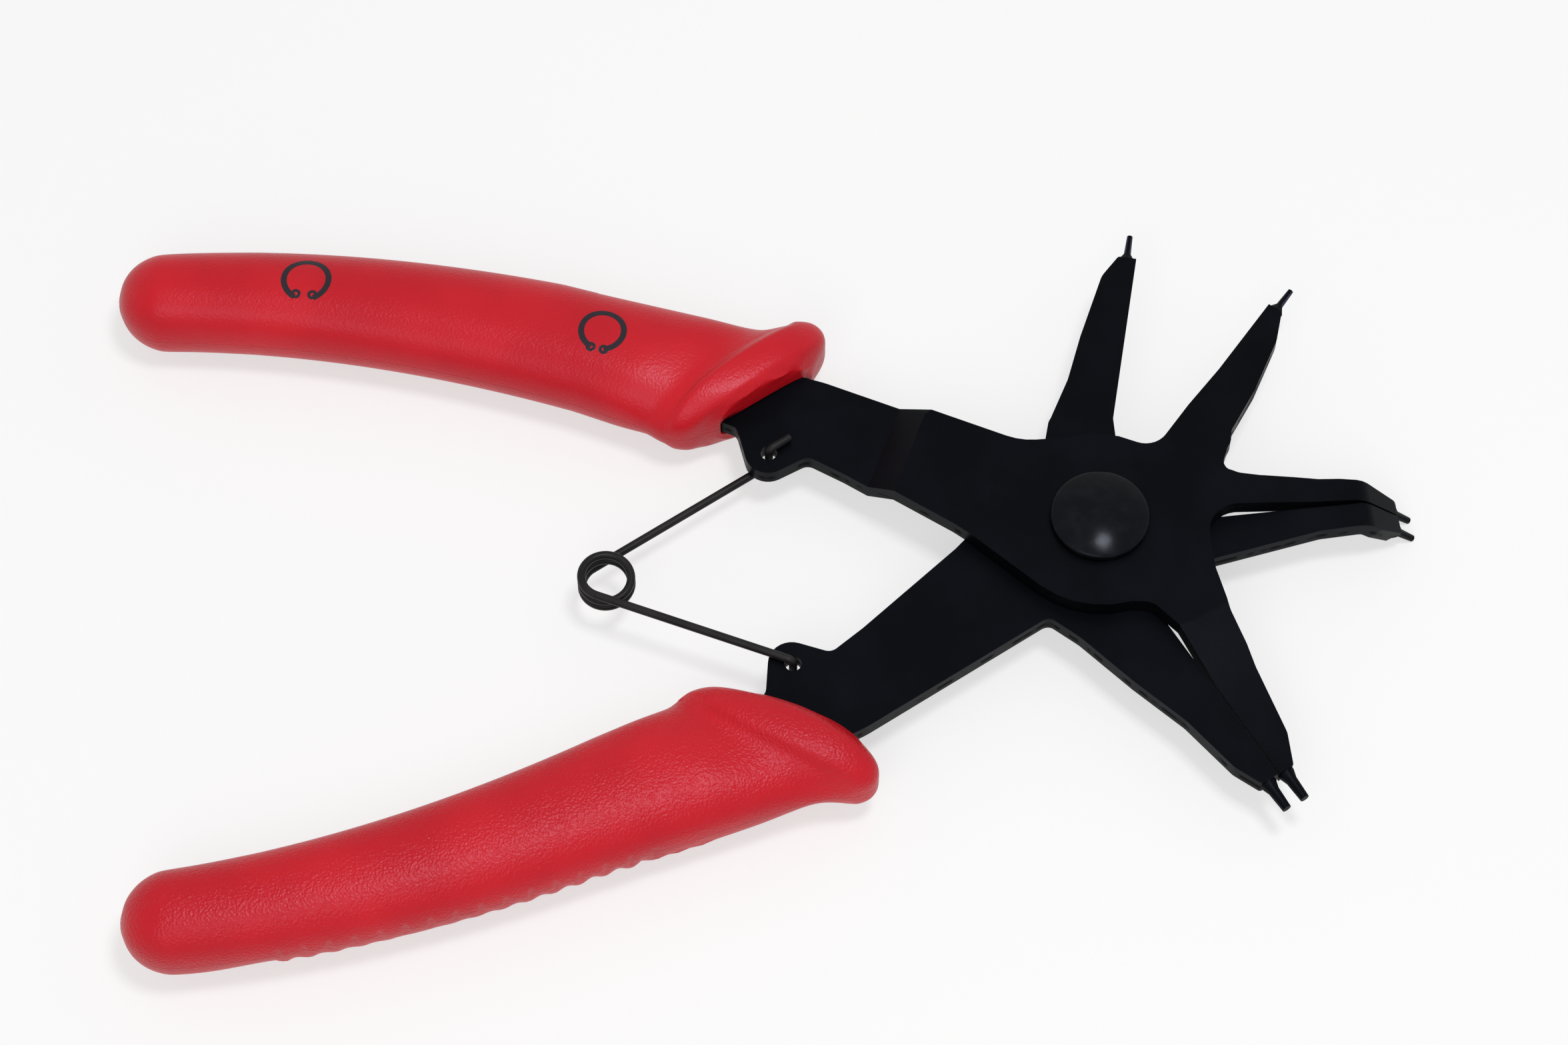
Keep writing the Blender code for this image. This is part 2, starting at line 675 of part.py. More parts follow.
def grip_sections(side):
    """The grip's rings from the mouth to the rounded end."""
    rings = []
    for inner, outer, half_thickness in FLANGE_SECTIONS:
        rings.append(section(Vector(inner) * MM, Vector(outer) * MM, half_thickness * MM, False, side))
    cap_start = GRIP_END + GRIP_CAP
    x = GRIP_BODY_START
    is_notch = False
    while x > cap_start + RIB_PITCH / 2:
        half = across(x) * (GRIP_WIDE + (GRIP_NARROW - GRIP_WIDE) * share(x, GRIP_BODY_START, cap_start))
        rings.append(section(spine(x) - half, spine(x) + half, GRIP_HALF_THICKNESS, is_notch, side))
        is_ribbed = x > RIB_END
        is_notch = is_ribbed and not is_notch
        x -= RIB_PITCH / 2 if is_ribbed else 2 * RIB_PITCH
    for i in range(CAP_RINGS + 1):
        angle = CAP_CLOSE * i / CAP_RINGS
        x = cap_start - GRIP_CAP * math.sin(angle)
        half = across(x) * GRIP_NARROW * math.cos(angle)
        rings.append(section(spine(x) - half, spine(x) + half, GRIP_HALF_THICKNESS * math.cos(angle),
                             False, side))
    return rings


def loft(name, rings, collection):
    """A closed solid through a row of rings, with flat ends."""
    mesh = bmesh.new()
    rows = [[mesh.verts.new(point) for point in ring] for ring in rings]
    for near, far in zip(rows, rows[1:]):
        for i in range(len(near)):
            mesh.faces.new((near[i - 1], near[i], far[i], far[i - 1]))
    mesh.faces.new(rows[0])
    mesh.faces.new(rows[-1])
    bmesh.ops.recalc_face_normals(mesh, faces=mesh.faces)
    data = bpy.data.meshes.new(name)
    mesh.to_mesh(data)
    mesh.free()
    return place(name, data, collection)


def grip(name, side, material, parts, cutters):
    """A moulded grip with a pocket that takes the lever's tail."""
    item = loft(name, grip_sections(side), parts)
    outline = grown(rounded(tang_corners(side, is_grip_pocket=True)), CLEARANCE)
    pocket = plate(f"{name}_pocket", outline, LOWER_Z - CLEARANCE, PLATE + 2 * CLEARANCE, cutters)
    boolean = item.modifiers.new("Pocket", "BOOLEAN")
    boolean.operation = "DIFFERENCE"
    boolean.object = as_cutter(pocket)
    smooth(item)
    item.data.materials.append(material)
    return item


def main():
    """Build the pliers."""
    for item in list(bpy.data.objects):
        bpy.data.objects.remove(item)
    parts = new_collection("circlip_pliers")
    cutters = new_collection("circlip_pliers_cutters")
    black_steel = finish("black oxide steel", (0.035, 0.036, 0.038), 0.7, 0.42)
    rivet_steel = finish("polished black steel", (0.03, 0.03, 0.032), 0.8, 0.2)
    spring_steel = finish("blued spring wire", (0.03, 0.03, 0.033), 0.8, 0.35)
    red_vinyl = finish("red vinyl", (0.72, 0.03, 0.025), 0.0, 0.42)

    low = lever("lower_lever", lower_corners(), LOWER_Z, LOWER_FINGERS, -1, False, black_steel, parts, cutters)
    high = lever("upper_lever", upper_corners(), UPPER_Z, UPPER_FINGERS, 1, True, black_steel, parts, cutters)
    pin = rivet(rivet_steel, parts)
    low_arm, high_arm = return_spring(spring_steel, parts)
    low_grip = grip("lower_grip", -1, red_vinyl, parts, cutters)
    high_grip = grip("upper_grip", 1, red_vinyl, parts, cutters)

    pin.parent = low
    low_grip.parent = low
    high_grip.parent = high
    high_arm.location = high_arm.location - low_arm.location
    high_arm.parent = low_arm
    low_arm.parent = low


main()
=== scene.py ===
# %% [markdown]
# # Circlip pliers
# The pliers are two stamped levers on one rivet, held open by a wire spring and gripped by two
# red vinyl sleeves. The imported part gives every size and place. This file adds what the eye sees:
# smooth shading, the wire's bends, the vinyl's grain and print, the black oxide and the studio.

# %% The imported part
import math

import bmesh
import bpy
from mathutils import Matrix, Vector


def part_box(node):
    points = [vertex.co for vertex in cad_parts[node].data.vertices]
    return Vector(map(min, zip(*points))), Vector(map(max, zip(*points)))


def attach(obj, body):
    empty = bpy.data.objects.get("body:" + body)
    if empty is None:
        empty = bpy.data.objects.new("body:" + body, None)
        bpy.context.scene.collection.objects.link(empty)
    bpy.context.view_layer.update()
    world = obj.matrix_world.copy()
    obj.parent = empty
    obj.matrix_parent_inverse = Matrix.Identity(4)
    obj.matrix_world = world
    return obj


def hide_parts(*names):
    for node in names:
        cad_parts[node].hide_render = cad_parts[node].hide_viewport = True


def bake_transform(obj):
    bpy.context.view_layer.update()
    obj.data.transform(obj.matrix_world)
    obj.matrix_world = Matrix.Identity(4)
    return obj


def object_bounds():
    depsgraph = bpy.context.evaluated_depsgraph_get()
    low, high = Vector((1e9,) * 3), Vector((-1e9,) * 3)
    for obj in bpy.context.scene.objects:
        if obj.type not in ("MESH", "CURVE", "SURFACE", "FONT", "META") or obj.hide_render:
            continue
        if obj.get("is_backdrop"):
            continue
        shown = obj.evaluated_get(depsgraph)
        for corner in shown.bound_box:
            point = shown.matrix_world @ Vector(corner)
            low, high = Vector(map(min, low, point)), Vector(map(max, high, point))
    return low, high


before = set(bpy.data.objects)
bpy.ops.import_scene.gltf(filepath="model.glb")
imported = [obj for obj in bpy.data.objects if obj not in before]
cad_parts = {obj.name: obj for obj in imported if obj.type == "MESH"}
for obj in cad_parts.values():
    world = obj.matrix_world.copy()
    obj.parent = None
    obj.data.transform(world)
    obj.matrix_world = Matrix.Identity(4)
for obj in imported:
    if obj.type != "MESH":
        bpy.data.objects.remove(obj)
cad_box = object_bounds()
MM = 0.001
for node in sorted(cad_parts):
    low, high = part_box(node)
    print(f"{node}: {[round(size / MM, 1) for size in high - low]} mm")

# %% [markdown]
# ## Heights and plates
# Both levers are cut from the same plate. The lower one lies flat from hub to handle, so the
# spring, the grips' parting line and the print all take their heights from it. The rivet's two
# ends are read from the part. The plate's thickness and the clearances are the part's own sizes,
# written out again.

# %% Heights and plates
PLATE = 2.5 * MM
CLEARANCE = 0.3 * MM
TAIL_HEIGHT = 1.2 * MM
LOWER_Z = TAIL_HEIGHT + CLEARANCE
HANDLE_Z = LOWER_Z + PLATE / 2
RIVET_FOOT, RIVET_CROWN = (corner.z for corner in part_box("pivot_rivet"))
print(f"the lower plate lies at {LOWER_Z / MM:.1f} mm")
print(f"the rivet runs from {RIVET_FOOT / MM:.1f} to {RIVET_CROWN / MM:.1f} mm")

# %% [markdown]
# ## Smooth copies of the solids
# A CAD node arrives as loose triangles. A copy is merged, its flat triangles are joined, and it is
# shaded smooth between its real edges, so that rounded outlines stop looking faceted. The node
# itself stays as it is for collision, and the copy stands for it in the picture.

# %% Smooth copies of the solids
DOUBLES = 0.002 * MM


def object_from(bm, name):
    """A new object, at the origin, from an edited mesh."""
    mesh = bpy.data.meshes.new(name)
    bm.to_mesh(mesh)
    bm.free()
    piece = bpy.data.objects.new(name, mesh)
    bpy.context.scene.collection.objects.link(piece)
    return piece


def merged_copy(node):
    """An editable copy of a CAD node with its doubled corners merged."""
    bm = bmesh.new()
    bm.from_mesh(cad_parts[node].data)
    for layer in list(bm.loops.layers.uv):
        bm.loops.layers.uv.remove(layer)
    bmesh.ops.remove_doubles(bm, verts=bm.verts, dist=DOUBLES)
    return bm


def evaluated_mesh(piece):
    """The mesh that an object has once its modifiers are worked out."""
    bpy.context.view_layer.update()
    evaluated = piece.evaluated_get(bpy.context.evaluated_depsgraph_get())
    return bpy.data.meshes.new_from_object(evaluated)


def polar(radius, angle):
    """A plan point at a radius and an angle."""
    return Vector((radius * math.cos(angle), radius * math.sin(angle)))


def between(value, points):
    """A height read off a line through points (place, height), and 0 beyond them."""
    for (start, low), (end, high) in zip(points, points[1:]):
        if start <= value <= end:
            return low + (high - low) * (value - start) / (end - start)
    return 0.0


def show(piece, material, body, slot, *nodes):
    """Give a finished piece its material and body, and let it stand for its CAD nodes."""
    piece.data.materials.clear()
    piece.data.materials.append(material)
    if nodes:
        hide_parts(*nodes)
    if body:
        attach(piece, body)
    print(f"{piece.name}: {len(piece.data.polygons)} faces, on {body or 'two bodies'}")


print(f"{len(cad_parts)} nodes can be copied and shown")

# %% [markdown]
# ## Writing shaders as arithmetic
# Every finish here is a sum of masks: rings, lines, grain, wear. Written out as nodes that is hard
# to read, so a shader value is wrapped in a small class. Adding or multiplying two values adds the
# Math node that does it. Any other node comes from one method, settings first, then sockets.

# %% Writing shaders as arithmetic
class Value:
    """A shader value that takes part in ordinary arithmetic."""

    def __init__(self, finish, socket):
        self.finish = finish
        self.socket = socket

    def math(self, operation, first, second=0.0):
        """One Math node."""
        return self.finish.node("ShaderNodeMath", {"operation": operation}, {0: first, 1: second})

    def __add__(self, other):
        return self.math("ADD", self, other)

    def __radd__(self, other):
        return self.math("ADD", other, self)

    def __sub__(self, other):
        return self.math("SUBTRACT", self, other)

    def __rsub__(self, other):
        return self.math("SUBTRACT", other, self)

    def __mul__(self, other):
        return self.math("MULTIPLY", self, other)

    def __rmul__(self, other):
        return self.math("MULTIPLY", other, self)

    def size(self):
        """The value without its sign."""
        return self.math("ABSOLUTE", self)

    def root(self):
        """The square root."""
        return self.math("SQRT", self)

    def most(self, other):
        """The larger of two values."""
        return self.math("MAXIMUM", self, other)

    def fade(self, start, end):
        """A soft step from 0 at start to 1 at end."""
        return self.finish.node("ShaderNodeMapRange", {"interpolation_type": "SMOOTHSTEP"},
                                {"Value": self, "From Min": start, "From Max": end}, "Result")


class Finish:
    """One material, its surface shader and the nodes that feed it."""

    def __init__(self, name, **constants):
        self.material = bpy.data.materials.new(name)
        self.material.use_nodes = True
        self.tree = self.material.node_tree
        self.surface = self.tree.nodes["Principled BSDF"]
        for key, value in constants.items():
            self.surface.inputs[key.replace("_", " ")].default_value = value
        self.place = self.node("ShaderNodeTexCoord", output="Object")

    def node(self, kind, settings=None, inputs=None, output=0):
        """Add any node: its settings first, then the values or links of its sockets."""
        added = self.tree.nodes.new(kind)
        for name, value in (settings or {}).items():
            setattr(added, name, value)
        for key, value in (inputs or {}).items():
            self.feed(added.inputs[key], value)
        return Value(self, added.outputs[output])

    def feed(self, socket, value):
        """Link a value to a socket, or write a constant there."""
        if isinstance(value, Value):
            self.tree.links.new(value.socket, socket)
        else:
            socket.default_value = value

    def set(self, name, value):
        """Feed one of the surface's sockets."""
        self.feed(self.surface.inputs[name], value)

    def xyz(self):
        """The object's own coordinates, in metres."""
        parts = self.node("ShaderNodeSeparateXYZ", inputs={0: self.place}).socket.node
        return [Value(self, socket) for socket in parts.outputs]

    def stretched(self, x, y, z):
        """The object's coordinates scaled by a factor each way."""
        scaling = {0: self.place, 1: (x, y, z)}
        return self.node("ShaderNodeVectorMath", {"operation": "MULTIPLY"}, scaling)

    def noise(self, grain, detail=2.0, place=None):
        """Cloudy noise from 0 to 1, with blobs of about the given size."""
        inputs = {"Vector": place or self.place, "Scale": 1 / grain, "Detail": detail}
        return self.node("ShaderNodeTexNoise", inputs=inputs)

    def cells(self, grain):
        """The distance to the middle of the nearest of many small cells, about 0 to 1."""
        return self.node("ShaderNodeTexVoronoi", {"feature": "SMOOTH_F1"},
                         {"Vector": self.place, "Scale": 1 / grain}, "Distance")

    def attribute(self, name):
        """A value stored on the piece."""
        return self.node("ShaderNodeAttribute", {"attribute_name": name}, output="Fac")

    def mix(self, share, first, second):
        """One colour turning into another."""
        colours = {0: share, 6: first, 7: second}
        return self.node("ShaderNodeMix", {"data_type": "RGBA"}, colours, 2)

    def relief(self, height, depth):
        """A bumpy surface from a height of 0 to 1 that stands for a real depth."""
        inputs = {"Strength": 1.0, "Distance": depth, "Height": height}
        self.set("Normal", self.node("ShaderNodeBump", inputs=inputs, output="Normal"))


print("shader values add, subtract and multiply as nodes")

# %% [markdown]
# ## Black oxide steel
# The levers are blackened in a hot salt bath. The coat is a few thousandths of a millimetre thick,
# so it shows the blank's own marks: a satin face and the torn band that the punch leaves half-way
# through the plate's edge. The rims are painted a lighter blue-grey as a painted highlight of their
# bevels, stronger in patches where they are rubbed. Three values stored on the piece tell the
# shader which faces are rims, which are flanks, and how far up the plate a point lies.

# %% Black oxide steel
EDGE_BREAK = 0.2 * MM
RIM_HEIGHT = 1.6 * EDGE_BREAK
FLANK_TILT = 0.3
RIM_TILT = 0.95
OXIDE_DARK = (0.0012, 0.0013, 0.002, 1.0)
OXIDE_LIGHT = (0.0025, 0.0026, 0.004, 1.0)
# painted highlight: the lighter blue-grey of the rims' bevels, partly rubbed wear
RIM_SHEEN_AND_WEAR = (0.035, 0.038, 0.075, 1.0)
TORN_STEEL = (0.001, 0.001, 0.001, 1.0)


def is_flank(face):
    """Whether a face is on the plate's edge."""
    return abs(face.normal.z) < FLANK_TILT


def store(piece, name, domain, values):
    """Store one number for each face or point of a piece."""
    layer = piece.data.attributes.new(name, "FLOAT", domain)
    layer.data.foreach_set("value", values)


def mark_plate(piece):
    """Store which faces are rims or flanks, and which points are on the plate's upper side."""
    mesh = piece.data
    rims = []
    for face in mesh.polygons:
        heights = [mesh.vertices[i].co.z for i in face.vertices]
        is_thin = max(heights) - min(heights) < RIM_HEIGHT
        rims.append(float(is_thin and FLANK_TILT < abs(face.normal.z) < RIM_TILT))
    store(piece, "rim", "FACE", rims)
    store(piece, "flank", "FACE", [float(is_flank(face)) for face in mesh.polygons])
    store(piece, "upper_side", "POINT", [float(vertex.normal.z > 0) for vertex in mesh.vertices])


oxide = Finish("black oxide steel", Metallic=0.0, Specular_IOR_Level=0.05,
               Specular_Tint=(0.7, 0.8, 1.0, 1.0))
clouds = oxide.noise(9 * MM, 4.0)
satin = oxide.noise(0.5 * MM, 3.0)
rim = oxide.attribute("rim")
flank = oxide.attribute("flank")
through = oxide.attribute("upper_side")
# patches on the rims where they are rubbed, painted lighter still: wear and painted highlight
rubbed_sheen = rim * oxide.noise(3.5 * MM, 3.0).fade(0.42, 0.68)
dashes = oxide.noise(2.2 * MM, 1.0, oxide.stretched(1.0, 1.0, 0.2)).fade(0.45, 0.6)
band = through.fade(0.25, 0.4) * (1 - through.fade(0.55, 0.7))
torn = flank * band * dashes
plain_black = oxide.mix(clouds.fade(0.35, 0.7), OXIDE_DARK, OXIDE_LIGHT)
# painted highlight: every rim is painted part of the way to the lighter blue-grey, rubbed patches
# more
with_rim_sheen = oxide.mix(rim * 0.45 + rubbed_sheen * 0.55, plain_black, RIM_SHEEN_AND_WEAR)
oxide.set("Base Color", oxide.mix(torn, with_rim_sheen, TORN_STEEL))
oxide.set("Roughness", 0.32 + 0.14 * clouds + 0.3 * torn - 0.06 * rubbed_sheen)
oxide.relief(satin * 0.3 + clouds * 0.4 - torn * 1.2, 0.03 * MM)
print("black oxide reads rim, flank and upper_side")

# %% [markdown]
# ## The two levers
# Each lever is one blank with three fingers, folded so that the tips meet in one plane. A press
# leaves soft folds, so the shading turns gently there, while a broken edge stays crisp: the large
# flat faces decide the normals around them. The two fine fingers also get straighter backs, and the
# lower one has its folds cut again straight across, because the CAD's triangles cross them at a
# slant.

# %% The two levers
LOW_FINE_FINGER = math.radians(74.0)
LOW_FINE_EASING = ((12.9, 0.0), (16.3, 0.9), (19.3, 0.55), (25.0, 0.0))
LOW_FINE_FOLD = (22.7 * MM, 29.0 * MM)
LOW_FINE_RISE = 1.4 * MM
HIGH_FINE_FINGER = math.radians(48.0)
HIGH_FINE_EASING = ((16.5, 0.0), (19.5, 0.9), (21.5, 0.7), (26.0, 0.0))
FINGER_HALF_WIDTH = 11.0 * MM
BACK_LIMIT = 6.5 * MM
FACET_ANGLE = math.radians(32.0)
FLAT_ANGLE = math.radians(0.5)
FACE_TILT = 0.78
CUT_MERGE = 0.02 * MM
FOLD_REACH = 0.03 * MM
LEVEL_REACH = 0.3 * MM


def soften(bm):
    """Shade the plate's curved edge and its soft folds smooth, and keep the rims sharp."""
    for face in bm.faces:
        face.smooth = True
    for edge in bm.edges:
        meets_flank = sum(is_flank(face) for face in edge.link_faces) == 1
        edge.smooth = edge.calc_face_angle(math.pi) < FACET_ANGLE and not meets_flank


def let_flats_win(piece):
    """Turn the shading normals towards the larger faces, so that only the folds look curved."""
    weighting = piece.modifiers.new("flats win", "WEIGHTED_NORMAL")
    weighting.keep_sharp = True
    weighted = evaluated_mesh(piece)
    piece.modifiers.remove(weighting)
    piece.data = weighted


def ease_back(bm, line_angle, side, easing):
    """Draw in a finger's back edge by (distance, depth) in mm, so it meets the hub straight."""
    line, aside = polar(1.0, line_angle), polar(side, line_angle + math.pi / 2)
    for vertex in bm.verts:
        if vertex.co.xy.dot(aside) > BACK_LIMIT:
            vertex.co.xy -= aside * between(vertex.co.xy.dot(line) / MM, easing) * MM


def refold(bm, line_angle, folds, rise, underside):
    """Join the faces across a finger's two folds, then cut them again along straight fold lines."""
    line, aside = polar(1.0, line_angle), polar(1.0, line_angle + math.pi / 2)
    start, end = folds
    for upwards in (1, -1):
        crossing = []
        for face in bm.faces:
            along = [vertex.co.xy.dot(line) for vertex in face.verts]
            off = max(abs(vertex.co.xy.dot(aside)) for vertex in face.verts)
            is_on_finger = off < FINGER_HALF_WIDTH and min(along) > start / 2
            is_across = max(along) > start and min(along) < end
            if face.normal.z * upwards > FACE_TILT and is_on_finger and is_across:
                crossing.append(face)
        bmesh.ops.dissolve_faces(bm, faces=crossing)
    for fold, lift in ((start, 0.0), (end, rise)):
        bmesh.ops.bisect_plane(bm, geom=bm.verts[:] + bm.edges[:] + bm.faces[:], dist=CUT_MERGE,
                               plane_co=(*(line * fold), 0.0), plane_no=(*line, 0.0))
        for vertex in bm.verts:
            is_on_fold = abs(vertex.co.xy.dot(line) - fold) < FOLD_REACH
            if is_on_fold and abs(vertex.co.xy.dot(aside)) < FINGER_HALF_WIDTH:
                for level in (underside + lift, underside + PLATE + lift):
                    if FOLD_REACH < abs(vertex.co.z - level) < LEVEL_REACH:
                        vertex.co.z = level


def trim_lower(bm):
    """Straighten the lower lever's fine finger."""
    refold(bm, LOW_FINE_FINGER, LOW_FINE_FOLD, LOW_FINE_RISE, LOWER_Z)
    ease_back(bm, LOW_FINE_FINGER, 1, LOW_FINE_EASING)


def trim_upper(bm):
    """Straighten the upper lever's fine finger."""
    ease_back(bm, HIGH_FINE_FINGER, -1, HIGH_FINE_EASING)


def lever(node, body, change):
    """A lever's smooth copy, marked for its finish."""
    bm = merged_copy(node)
    change(bm)
    bmesh.ops.dissolve_limit(bm, angle_limit=FLAT_ANGLE, verts=bm.verts, edges=bm.edges)
    soften(bm)
    piece = object_from(bm, f"{node}_dressed")
    let_flats_win(piece)
    mark_plate(piece)
    show(piece, oxide.material, body, "levers", node)


lever("lower_lever", "lower_half", trim_lower)
lever("upper_lever", "upper_half", trim_upper)

# %% [markdown]
# ## The rivet
# One big domed rivet holds the levers. Its head was spun over, so it is rounder and shinier than
# the plates. The CAD dome has few rings. Here the same profile is spun in many steps, so that the
# highlight runs round it without facets.

# %% The rivet
HEAD_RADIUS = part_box("pivot_rivet")[1].x
HEAD_WALL = 0.9 * MM
HEAD_DOME = 1.5 * MM
SHANK_RADIUS = 4.0 * MM
TAIL_RADIUS = 5.2 * MM
TAIL_CHAMFER = 0.4 * MM
DOME_SHARE = 0.97
SHOULDER_ROUND = 0.35 * MM
SHOULDER_DROP = 0.25 * MM
SHOULDER_STEPS = 4
TURN_STEPS = 128
DOME_RINGS = 24
TURN_MERGE = 0.001 * MM
TURN_CREASE = math.radians(30.0)
POLISHED_DARK = (0.003, 0.003, 0.004, 1.0)
POLISHED_LIGHT = (0.006, 0.006, 0.008, 1.0)


def arc(centre, radius, start, end, count):
    """Points (radius, height) along an arc; angles are in degrees from the horizontal."""
    points = []
    for i in range(count + 1):
        angle = math.radians(start + (end - start) * i / count)
        points.append((centre[0] + radius * math.cos(angle), centre[1] + radius * math.sin(angle)))
    return points


def turned(name, profile):
    """A closed solid spun about the pivot's axis from points (radius, height), axis to axis."""
    bm = bmesh.new()
    points = [bm.verts.new((radius, 0.0, height)) for radius, height in profile]
    edges = [bm.edges.new(pair) for pair in zip(points, points[1:])]
    bmesh.ops.spin(bm, geom=points + edges, axis=(0, 0, 1), cent=(0, 0, 0), angle=2 * math.pi,
                   steps=TURN_STEPS, use_merge=True)
    bmesh.ops.remove_doubles(bm, verts=bm.verts, dist=TURN_MERGE)
    bmesh.ops.recalc_face_normals(bm, faces=bm.faces)
    piece = object_from(bm, name)
    piece.data.shade_smooth()
    piece.data.set_sharp_from_angle(angle=TURN_CREASE)
    return piece


rim_height = RIVET_CROWN - HEAD_DOME
head_seat = rim_height - HEAD_WALL
dome_radius = (HEAD_RADIUS ** 2 + HEAD_DOME ** 2) / (2 * HEAD_DOME)
half_opening = math.degrees(math.asin(HEAD_RADIUS / dome_radius))
dome_end = 90.0 - DOME_SHARE * half_opening
dome = arc((0.0, RIVET_CROWN - dome_radius), dome_radius, 90.0, dome_end, DOME_RINGS)
shoulder_centre = (HEAD_RADIUS - SHOULDER_ROUND, rim_height - SHOULDER_DROP)
shoulder = arc(shoulder_centre, SHOULDER_ROUND, 45.0, 0.0, SHOULDER_STEPS)
profile = [(0.0, RIVET_CROWN)] + dome[1:] + shoulder + [
    (HEAD_RADIUS, head_seat + EDGE_BREAK),
    (HEAD_RADIUS - EDGE_BREAK, head_seat),
    (SHANK_RADIUS, head_seat),
    (SHANK_RADIUS, TAIL_HEIGHT),
    (TAIL_RADIUS, TAIL_HEIGHT),
    (TAIL_RADIUS, TAIL_CHAMFER),
    (TAIL_RADIUS - TAIL_CHAMFER, RIVET_FOOT),
    (0.0, RIVET_FOOT),
]
rivet = turned("pivot_rivet_dressed", profile)

rivet_black = Finish("polished black rivet", Metallic=0.0, Specular_IOR_Level=0.08,
                     Specular_Tint=(0.8, 0.85, 1.0, 1.0))
smears = rivet_black.noise(2.5 * MM, 3.0)
rivet_black.set("Base Color", rivet_black.mix(smears.fade(0.4, 0.7), POLISHED_DARK, POLISHED_LIGHT))
rivet_black.set("Roughness", 0.14 + 0.14 * smears)
rivet_black.relief(smears, 0.02 * MM)
show(rivet, rivet_black.material, "lower_half", "rivet", "pivot_rivet")

# %% [markdown]
# ## The return spring
# The spring is one length of round wire: a hook through each tang, two straight legs and a coil of
# more than two turns. A wire is a circle swept along a path, which is what Curve to Mesh does, so
# one Geometry Nodes tree makes all of it.

# %% The wire's tree
WIRE_RADIUS = 0.575 * MM
WIRE_SIDES = 20
WIRE_DARK = (0.006, 0.006, 0.007, 1.0)
WIRE_LIGHT = (0.014, 0.013, 0.014, 1.0)


def wire_tree(material):
    """Geometry Nodes: a round wire swept along whatever curve it is put on."""
    tree = bpy.data.node_groups.new("round wire", "GeometryNodeTree")
    tree.interface.new_socket("Path", in_out="INPUT", socket_type="NodeSocketGeometry")
    tree.interface.new_socket("Wire radius", in_out="INPUT", socket_type="NodeSocketFloat")
    tree.interface.new_socket("Sides", in_out="INPUT", socket_type="NodeSocketInt")
    tree.interface.new_socket("Wire", in_out="OUTPUT", socket_type="NodeSocketGeometry")
    start = tree.nodes.new("NodeGroupInput")
    circle = tree.nodes.new("GeometryNodeCurvePrimitiveCircle")
    sweep = tree.nodes.new("GeometryNodeCurveToMesh")
    sweep.inputs["Fill Caps"].default_value = True
    shading = tree.nodes.new("GeometryNodeSetShadeSmooth")
    realize = tree.nodes.new("GeometryNodeRealizeInstances")
    finish = tree.nodes.new("GeometryNodeSetMaterial")
    finish.inputs["Material"].default_value = material
    end = tree.nodes.new("NodeGroupOutput")
    for source, target in (
        (start.outputs["Path"], sweep.inputs["Curve"]),
        (start.outputs["Wire radius"], circle.inputs["Radius"]),
        (start.outputs["Sides"], circle.inputs["Resolution"]),
        (circle.outputs["Curve"], sweep.inputs["Profile Curve"]),
        (sweep.outputs["Mesh"], shading.inputs["Geometry"]),
        (shading.outputs["Geometry"], realize.inputs["Geometry"]),
        (realize.outputs["Geometry"], finish.inputs["Geometry"]),
        (finish.outputs["Geometry"], end.inputs["Wire"]),
    ):
        tree.links.new(source, target)
    return tree


def swept_wire(name, path, tree):
    """A plain mesh of the wire along a path."""
    curve = bpy.data.curves.new(name, "CURVE")
    curve.dimensions = "3D"
    spline = curve.splines.new("POLY")
    spline.points.add(len(path) - 1)
    for point, place in zip(spline.points, path):
        point.co = (*place, 1.0)
    holder = bpy.data.objects.new(name + "_path", curve)
    bpy.context.scene.collection.objects.link(holder)
    inputs = [item for item in tree.interface.items_tree if item.in_out == "INPUT"]
    sockets = {item.name: item.identifier for item in inputs}
    modifier = holder.modifiers.new("Wire", "NODES")
    modifier.node_group = tree
    modifier[sockets["Wire radius"]] = WIRE_RADIUS
    modifier[sockets["Sides"]] = WIRE_SIDES
    mesh = evaluated_mesh(holder)
    bpy.data.objects.remove(holder)
    piece = bpy.data.objects.new(name, mesh)
    bpy.context.scene.collection.objects.link(piece)
    return piece


wire_black = Finish("blued spring wire", Metallic=0.0, Specular_IOR_Level=0.15)
wire_clouds = wire_black.noise(4 * MM, 3.0)
wire_black.set("Base Color", wire_black.mix(wire_clouds.fade(0.4, 0.7), WIRE_DARK, WIRE_LIGHT))
wire_black.set("Roughness", 0.34 + 0.15 * wire_clouds)
spring_tree = wire_tree(wire_black.material)
print(f"wire tree has {len(spring_tree.nodes)} nodes")

# %% [markdown]
# ## The wire's path
# A spring maker bends the hooks last, so they are corners rounded to a bending radius. The legs
# leave the coil along its tangents: each one aims at its hole in the tang, turned by the small
# angle whose sine is the coil's radius over the distance. That also tells how far the coil has to
# turn.

# %% The wire's path
TANG_TURN = math.radians(-0.8)
HOLE_DISTANCE = 46.2 * MM
HOLE_ANGLE = math.radians(159.4)
COIL_CENTRE = Vector((-66.95 * MM, 0.3 * MM))
COIL_RADIUS = 3.35 * MM
COIL_FULL_TURNS = 2
COIL_STEPS = 60
WIRE_BEND = 0.9 * MM
BEND_STEPS = 8
HOOK_LENGTH = 3.5 * MM


def lifted(point, height):
    """A plan point at a height."""
    return Vector((point.x, point.y, height))


def bent(before, corner, after):
    """A corner of the wire bent to its bending radius, as points."""
    inward, outward = (corner - before).normalized(), (after - corner).normalized()
    turn = inward.angle(outward)
    reach = WIRE_BEND * math.tan(turn / 2)
    start, end = corner - inward * reach, corner + outward * reach
    points = []
    for i in range(BEND_STEPS + 1):
        share = i / BEND_STEPS
        rest = 1 - share
        points.append(start * rest ** 2 + corner * 2 * share * rest + end * share ** 2)
    return points


